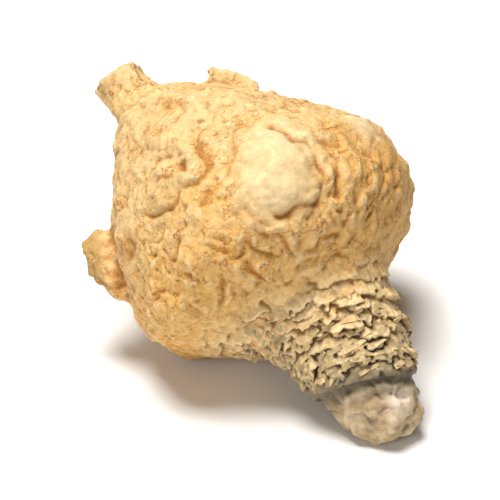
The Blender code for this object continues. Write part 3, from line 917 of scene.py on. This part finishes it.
# %% The skin's material
CREAM = (0.87, 0.595, 0.27)
PALE = (0.93, 0.73, 0.42)
OCHRE = (0.86, 0.50, 0.15)
BROWN = (0.30, 0.115, 0.028)
ORANGE_BROWN = (0.66, 0.29, 0.05)
EAR_OCHRE = (0.55, 0.34, 0.11)
NECK_PALE = (0.88, 0.67, 0.37)
NECK_OCHRE = (0.62, 0.40, 0.15)
NECK_GREY = (0.36, 0.27, 0.14)
NECK_GAP_SHADOW = (0.055, 0.032, 0.016)
TIP_TAN = (0.42, 0.29, 0.15)
TIP_PALE = (0.66, 0.52, 0.32)
TIP_HIGHLIGHT = (0.92, 0.75, 0.62)
BAND_DARK = (0.15, 0.12, 0.08)


def neck_colour(tree, where):
    """Each scale is a little paler, browner or greyer than the next."""
    tint = cell_value(tree, where, 1.3)
    grain = noise_value(tree, where, 0.6, 4.0, 0.6)
    colour = coat(tree, NECK_OCHRE, NECK_PALE, grain, 0.3, 0.7)
    colour = coat(tree, colour, NECK_GREY, tint, 0.5, 1.0, 0.75)
    colour = coat(tree, colour, NECK_PALE, tint, 0.35, 0.0, 0.6)
    return coat(tree, colour, ORANGE_BROWN, noise_value(tree, where, 2.2, 2.0), 0.55, 0.7, 0.5)


def bulb_colour(tree, where, near, off_boss, wrinkles, grain):
    wide = named_value(tree, "hollow_wide")
    blotch = noise_value(tree, where, 4.0, 3.0)
    streak = noise_value(tree, where, 1.7, 3.0, 0.6)
    # More ochre towards the crown end and off the boss: partly the skin's own colour, partly painted shade
    # on the lower front.
    ochre_and_shade = maths(tree, "ADD", named_value(tree, "ochre_and_shade"), spread(tree, blotch, 0.3, 0.75, -0.25, 0.45))
    colour = mixed(tree, ochre_and_shade, CREAM, OCHRE)
    # Cream on the backs of the wide folds: partly rubbed skin, partly painted highlight.
    colour = coat(tree, colour, CREAM, wide, 0.5, 0.15, 0.6)
    colour = coat(tree, colour, ORANGE_BROWN, streak, 0.48, 0.72, 0.6)
    # The boss is painted paler: partly its own paler skin, partly painted highlight where the light falls
    # most.
    colour = patch(tree, colour, PALE, "boss", 0.8)
    # Orange-brown in the wide hollows and brown in the narrow ones: partly dirt and sap, partly painted
    # shade.
    colour = coat(tree, colour, ORANGE_BROWN, wide, 0.55, 1.0, 0.75)
    colour = coat(tree, colour, BROWN, near, 0.56, 0.90, 0.68)
    # Paler on the backs of the wrinkles: partly rubbed skin, partly painted highlight.
    colour = coat(tree, colour, PALE, near, 0.46, 0.2, 0.5)
    colour = patch(tree, colour, EAR_OCHRE, "ear", 0.9)
    # Orange-brown and brown along the valleys of the fine wrinkles: partly dirt, partly painted shade.
    line = times(tree, spread(tree, wrinkles, 0.35, 0.0), spread(tree, blotch, 0.35, 0.6, 0.1, 0.5))
    colour = mixed(tree, times(tree, line, off_boss), colour, ORANGE_BROWN)
    line = times(tree, spread(tree, wrinkles, 0.16, 0.0), spread(tree, streak, 0.42, 0.62, 0.0, 0.75))
    colour = mixed(tree, times(tree, line, off_boss), colour, BROWN)
    # Brown from the creases, partly dirt and partly painted shade, and the painted shade on the bulb's
    # upper right side.
    dirt_and_shade = times(tree, named_value(tree, "brown_and_shade"), spread(tree, grain, 0.35, 0.65, 0.4, 1.0))
    colour = coat(tree, colour, ORANGE_BROWN, dirt_and_shade, 0.05, 0.7, 0.6)
    return coat(tree, colour, BROWN, dirt_and_shade, 0.35, 0.95, 0.7)


def crown_colour(tree, where, near):
    """The neck's colour, greyer towards the tip, partly as painted shade, and with painted shadow nearly
    black in the gaps between its scales.
    """
    # Greyer on the lower neck: partly the scales' own grey, partly painted shade.
    colour = patch(tree, neck_colour(tree, where), NECK_GREY, "neck_low", 0.85)
    # Paler on the scales' raised edges as painted highlight, and brown in their hollows, partly dirt and
    # partly painted shade.
    colour = coat(tree, colour, NECK_PALE, near, 0.44, 0.1, 0.6)
    colour = coat(tree, colour, BROWN, near, 0.56, 0.88, 0.7)
    # Painted shadow, nearly black, in the gaps between the scales, deeper on the lower neck.
    how_low = maths(tree, "ADD", named_value(tree, "neck_low"), 0.25)
    gap = times(tree, spread(tree, near, 0.51, 0.80), how_low)
    return mixed(tree, gap, colour, NECK_GAP_SHADOW)


def tip_colour(tree, where, near):
    colour = coat(tree, TIP_TAN, TIP_PALE, noise_value(tree, where, 1.6), 0.35, 0.7)
    # Painted shade: dark in the tip's hollows.
    colour = coat(tree, colour, BAND_DARK, near, 0.55, 1.0, 0.8)
    # A painted highlight on the tip.
    return patch(tree, colour, TIP_HIGHLIGHT, "tip_highlight", 0.9)


def skin_material():
    material, tree, shader = new_material("dried_root_skin", 0.7)
    where = coordinates_mm(tree)
    near = named_value(tree, "hollow_near")
    grain = noise_value(tree, where, 0.7, 4.0, 0.65)
    wrinkles = wrinkle_value(tree, where, 1.6)
    off_boss = spread(tree, named_value(tree, "boss"), 0.1, 0.6, 1.0, 0.1)
    colour = bulb_colour(tree, where, near, off_boss, wrinkles, grain)
    colour = mixed(tree, named_value(tree, "neck"), colour, crown_colour(tree, where, near))
    colour = mixed(tree, named_value(tree, "tip"), colour, tip_colour(tree, where, near))
    colour = patch(tree, colour, BAND_DARK, "band", 0.85)
    colour = patch(tree, colour, NECK_OCHRE, "torn", 0.5)
    speck = spread(tree, grain, 0.3, 0.75, 0.70, 0.90)
    speck = maths(tree, "ADD", speck, times(tree, named_value(tree, "neck"), 0.18))
    lightness = add_node(tree, "ShaderNodeVectorMath", operation="SCALE")
    link(tree, colour, lightness.inputs[0])
    link(tree, speck, lightness.inputs["Scale"])
    link(tree, lightness.outputs["Vector"], shader.inputs["Base Color"])
    bump = add_node(tree, "ShaderNodeBump")
    bump.inputs["Strength"].default_value = 0.6
    bump.inputs["Distance"].default_value = 0.15 * MM
    pores = noise_value(tree, where, 0.45, 5.0, 0.7)
    link(tree, mixed(tree, times(tree, off_boss, 0.5), pores, wrinkles), bump.inputs["Height"])
    link(tree, bump.outputs["Normal"], shader.inputs["Normal"])
    return material


# %% The finished skin
SKIN_TRIANGLES = 190000
skin.calc_loop_triangles()
full = len(skin.loop_triangles)
root = bpy.data.objects.new("root_skin", skin)
bpy.context.scene.collection.objects.link(root)
thin_out = root.modifiers.new("Thin out", "DECIMATE")
thin_out.ratio = min(1.0, SKIN_TRIANGLES / full)
graph = bpy.context.evaluated_depsgraph_get()
skin = bpy.data.meshes.new_from_object(root.evaluated_get(graph))
root.modifiers.remove(thin_out)
root.data = skin
write_points(skin, (read_points(skin) + BULB_MIDDLE) * MM)
skin.materials.append(skin_material())
skin.shade_smooth()
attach(root, "root")
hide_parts("maca_root")
skin.calc_loop_triangles()
print("skin:", full, "triangles thinned to", len(skin.loop_triangles))

# %% [markdown]
# ## Torn flakes
#
# The oldest leaf bases frayed into thin flakes that stand off the neck. One flake is made here as a
# small curved plate with a torn edge. A node tree then scatters it over the neck, where the skin
# carries a density value, so that the flakes follow any change of the form. Every flake points
# towards the crown and is tilted and stretched by a random amount from a fixed seed.


# %% One flake
FLAKE_COLUMNS = 5
FLAKE_ROWS = 4
FLAKE_THICKNESS = 0.14


def flake_mesh():
    """A thin curved plate, 1 long and 1 wide, with its free edge torn."""
    luck = np.random.default_rng(5)
    shape = bmesh.new()
    sides = []
    for lift in (0.0, FLAKE_THICKNESS):
        rows = []
        for i in range(FLAKE_ROWS):
            v = i / (FLAKE_ROWS - 1)
            row = []
            for j in range(FLAKE_COLUMNS):
                u = 2 * j / (FLAKE_COLUMNS - 1) - 1
                reach = 1.0 - 0.14 * u * u
                if i == FLAKE_ROWS - 1 and lift == 0:
                    reach += 0.12 * luck.uniform(-1, 1)
                height = lift * (1 - 0.75 * v) + 0.12 * v * v - 0.08 * u * u
                row.append(shape.verts.new((0.5 * u * (0.85 + 0.15 * v), v * reach, height)))
            rows.append(row)
        sides.append(rows)
    low, high = sides
    for rows, up in ((low, False), (high, True)):
        for i in range(FLAKE_ROWS - 1):
            for j in range(FLAKE_COLUMNS - 1):
                corners = (rows[i][j], rows[i][j + 1], rows[i + 1][j + 1], rows[i + 1][j])
                shape.faces.new(corners if up else corners[::-1])
    last_row, last_column = FLAKE_ROWS - 1, FLAKE_COLUMNS - 1
    rim = [(i, 0) for i in range(last_row, 0, -1)] + [(0, j) for j in range(last_column)]
    rim += [(i, last_column) for i in range(last_row)]
    rim += [(last_row, j) for j in range(last_column, 0, -1)]
    for (a, b), (c, d) in zip(rim, rim[1:] + rim[:1]):
        shape.faces.new((low[a][b], low[c][d], high[c][d], high[a][b]))
    bmesh.ops.recalc_face_normals(shape, faces=shape.faces)
    mesh = bpy.data.meshes.new("flake")
    shape.to_mesh(mesh)
    shape.free()
    return mesh


# %% The node tree that scatters it
LEAST_TILT, MOST_TILT = (-0.1, -0.2, -0.35), (0.3, 0.2, 0.35)
LEAST_STRETCH, MOST_STRETCH = (1.5, 0.7, 0.8), (3.2, 1.2, 1.3)


def scatter_tree():
    tree = bpy.data.node_groups.new("scatter_flakes", "GeometryNodeTree")
    face = tree.interface
    face.new_socket("Geometry", in_out="INPUT", socket_type="NodeSocketGeometry")
    for name, kind in (("Flake", "Object"), ("Gap", "Float"), ("Most", "Float"), ("Shortest", "Float"),
                       ("Longest", "Float"), ("Seed", "Int"), ("Finish", "Material")):
        face.new_socket(name, in_out="INPUT", socket_type="NodeSocket" + kind)
    face.new_socket("Geometry", in_out="OUTPUT", socket_type="NodeSocketGeometry")
    given, result = add_node(tree, "NodeGroupInput"), add_node(tree, "NodeGroupOutput")
    density = add_node(tree, "GeometryNodeInputNamedAttribute", data_type="FLOAT")
    density.inputs["Name"].default_value = "flakes"
    scatter = add_node(tree, "GeometryNodeDistributePointsOnFaces", distribute_method="POISSON")
    stand = add_node(tree, "FunctionNodeAlignRotationToVector", axis="Z")
    point = add_node(tree, "FunctionNodeAlignRotationToVector", axis="Y", pivot_axis="Z")
    point.inputs["Vector"].default_value = tuple(CROWN_WAY)
    tilt = add_node(tree, "FunctionNodeRotateRotation", rotation_space="LOCAL")
    as_turn = add_node(tree, "FunctionNodeEulerToRotation")
    length = add_node(tree, "FunctionNodeRandomValue", data_type="FLOAT")
    angle = add_node(tree, "FunctionNodeRandomValue", data_type="FLOAT_VECTOR")
    stretch = add_node(tree, "FunctionNodeRandomValue", data_type="FLOAT_VECTOR")
    for node, least, most in ((angle, LEAST_TILT, MOST_TILT), (stretch, LEAST_STRETCH, MOST_STRETCH)):
        node.inputs[0].default_value = least
        node.inputs[1].default_value = most
    size = add_node(tree, "ShaderNodeVectorMath", operation="SCALE")
    shape = add_node(tree, "GeometryNodeObjectInfo")
    place = add_node(tree, "GeometryNodeInstanceOnPoints")
    real = add_node(tree, "GeometryNodeRealizeInstances")
    finish = add_node(tree, "GeometryNodeSetMaterial")
    for source, leaving, target, entering in (
        (given, "Geometry", scatter, "Mesh"),
        (given, "Gap", scatter, "Distance Min"),
        (given, "Most", scatter, "Density Max"),
        (density, "Attribute", scatter, "Density Factor"),
        (given, "Seed", scatter, "Seed"),
        (scatter, "Normal", stand, "Vector"),
        (stand, "Rotation", point, "Rotation"),
        (point, "Rotation", tilt, "Rotation"),
        (given, "Seed", angle, "Seed"),
        (angle, 0, as_turn, "Euler"),
        (as_turn, "Rotation", tilt, "Rotate By"),
        (given, "Shortest", length, 2),
        (given, "Longest", length, 3),
        (given, "Seed", length, "Seed"),
        (stretch, 0, size, 0),
        (length, 1, size, "Scale"),
        (given, "Flake", shape, "Object"),
        (scatter, "Points", place, "Points"),
        (shape, "Geometry", place, "Instance"),
        (tilt, "Rotation", place, "Rotation"),
        (size, "Vector", place, "Scale"),
        (place, "Instances", real, "Geometry"),
        (real, "Geometry", finish, "Geometry"),
        (given, "Finish", finish, "Material"),
        (finish, "Geometry", result, "Geometry"),
    ):
        link(tree, source.outputs[leaving], target.inputs[entering])
    return tree


def flake_material():
    material, tree, shader = new_material("torn_flake", 0.75)
    where = coordinates_mm(tree)
    grey = spread(tree, noise_value(tree, where, 1.0, 4.0, 0.65), 0.35, 0.7, 0.1, 0.8)
    colour = mixed(tree, grey, neck_colour(tree, where), NECK_GREY)
    link(tree, colour, shader.inputs["Base Color"])
    return material


# %% Scatter the flakes and make them plain
flake = bpy.data.objects.new("flake", flake_mesh())
bpy.context.scene.collection.objects.link(flake)
flakes = bpy.data.objects.new("neck_flakes", skin.copy())
bpy.context.scene.collection.objects.link(flakes)
scatter = flakes.modifiers.new("Scatter", "NODES")
scatter.node_group = scatter_tree()
wanted = {"Flake": flake, "Gap": 0.9 * MM, "Most": 1.1e6, "Shortest": 0.36 * MM, "Longest": 0.68 * MM,
          "Seed": 3, "Finish": flake_material()}
for socket in scatter.node_group.interface.items_tree:
    if socket.name in wanted:
        scatter[socket.identifier] = wanted[socket.name]
graph = bpy.context.evaluated_depsgraph_get()
plain_flakes = bpy.data.meshes.new_from_object(flakes.evaluated_get(graph))
flakes.modifiers.remove(scatter)
flakes.data = plain_flakes
bpy.data.objects.remove(flake)
for name in named_values:
    if name in plain_flakes.attributes:
        plain_flakes.attributes.remove(plain_flakes.attributes[name])
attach(flakes, "root")
plain_flakes.calc_loop_triangles()
print("flakes:", len(plain_flakes.loop_triangles), "triangles")

# %% [markdown]
# ## Floor, light and camera
#
# The root lies on a plain white surface, and the picture was taken from above its left side with a
# long lens. Broad light comes from above and a little behind, so the belly's shadow falls under it
# and towards the viewer. A weaker light from the front, and a faint one all round, keep the creases
# from going black.

# %% The floor
floor_mesh = bpy.data.meshes.new("floor")
FLOOR_HALF = 1.5
corners = [(x * FLOOR_HALF, y * FLOOR_HALF, 0) for x, y in ((-1, -1), (1, -1), (1, 1), (-1, 1))]
floor_mesh.from_pydata(corners, [], [(0, 1, 2, 3)])
floor = bpy.data.objects.new("floor", floor_mesh)
bpy.context.scene.collection.objects.link(floor)
paper, _, paper_shader = new_material("white_paper", 0.9)
paper_shader.inputs["Base Color"].default_value = (0.92, 0.92, 0.92, 1.0)
floor_mesh.materials.append(paper)


# %% The lights
def soft_light(name, place, aim, size, power, colour):
    lamp = bpy.data.lights.new(name, "AREA")
    lamp.shape = "DISK"
    lamp.size = size
    lamp.energy = power
    lamp.color = colour
    holder = bpy.data.objects.new(name, lamp)
    bpy.context.scene.collection.objects.link(holder)
    holder.location = place
    holder.rotation_mode = "QUATERNION"
    holder.rotation_quaternion = (Vector(aim) - Vector(place)).to_track_quat("-Z", "Y")


soft_light("sky_panel", (-0.05, 0.035, 0.42), (0, 0, 0.012), 0.22, 2.65, (1.0, 0.98, 0.95))
soft_light("front_fill", (-0.42, -0.24, 0.28), (0, 0, 0.012), 0.24, 0.8, (1.0, 0.98, 0.96))
world = bpy.data.worlds.new("room")
world.use_nodes = True
world.node_tree.nodes["Background"].inputs["Color"].default_value = (1.0, 1.0, 1.0, 1.0)
world.node_tree.nodes["Background"].inputs["Strength"].default_value = 0.09
bpy.context.scene.world = world
bpy.context.scene.view_settings.view_transform = "Standard"

# %% The camera
camera = bpy.data.cameras.new("camera")
camera.lens = LENS
camera.clip_start = 0.01
camera_holder = bpy.data.objects.new("camera", camera)
bpy.context.scene.collection.objects.link(camera_holder)
camera_holder.location = (camera_place + BULB_MIDDLE) * MM
camera_holder.rotation_mode = "QUATERNION"
camera_holder.rotation_quaternion = Vector(-BACK_WAY).to_track_quat("-Z", "Y")
bpy.context.scene.camera = camera_holder
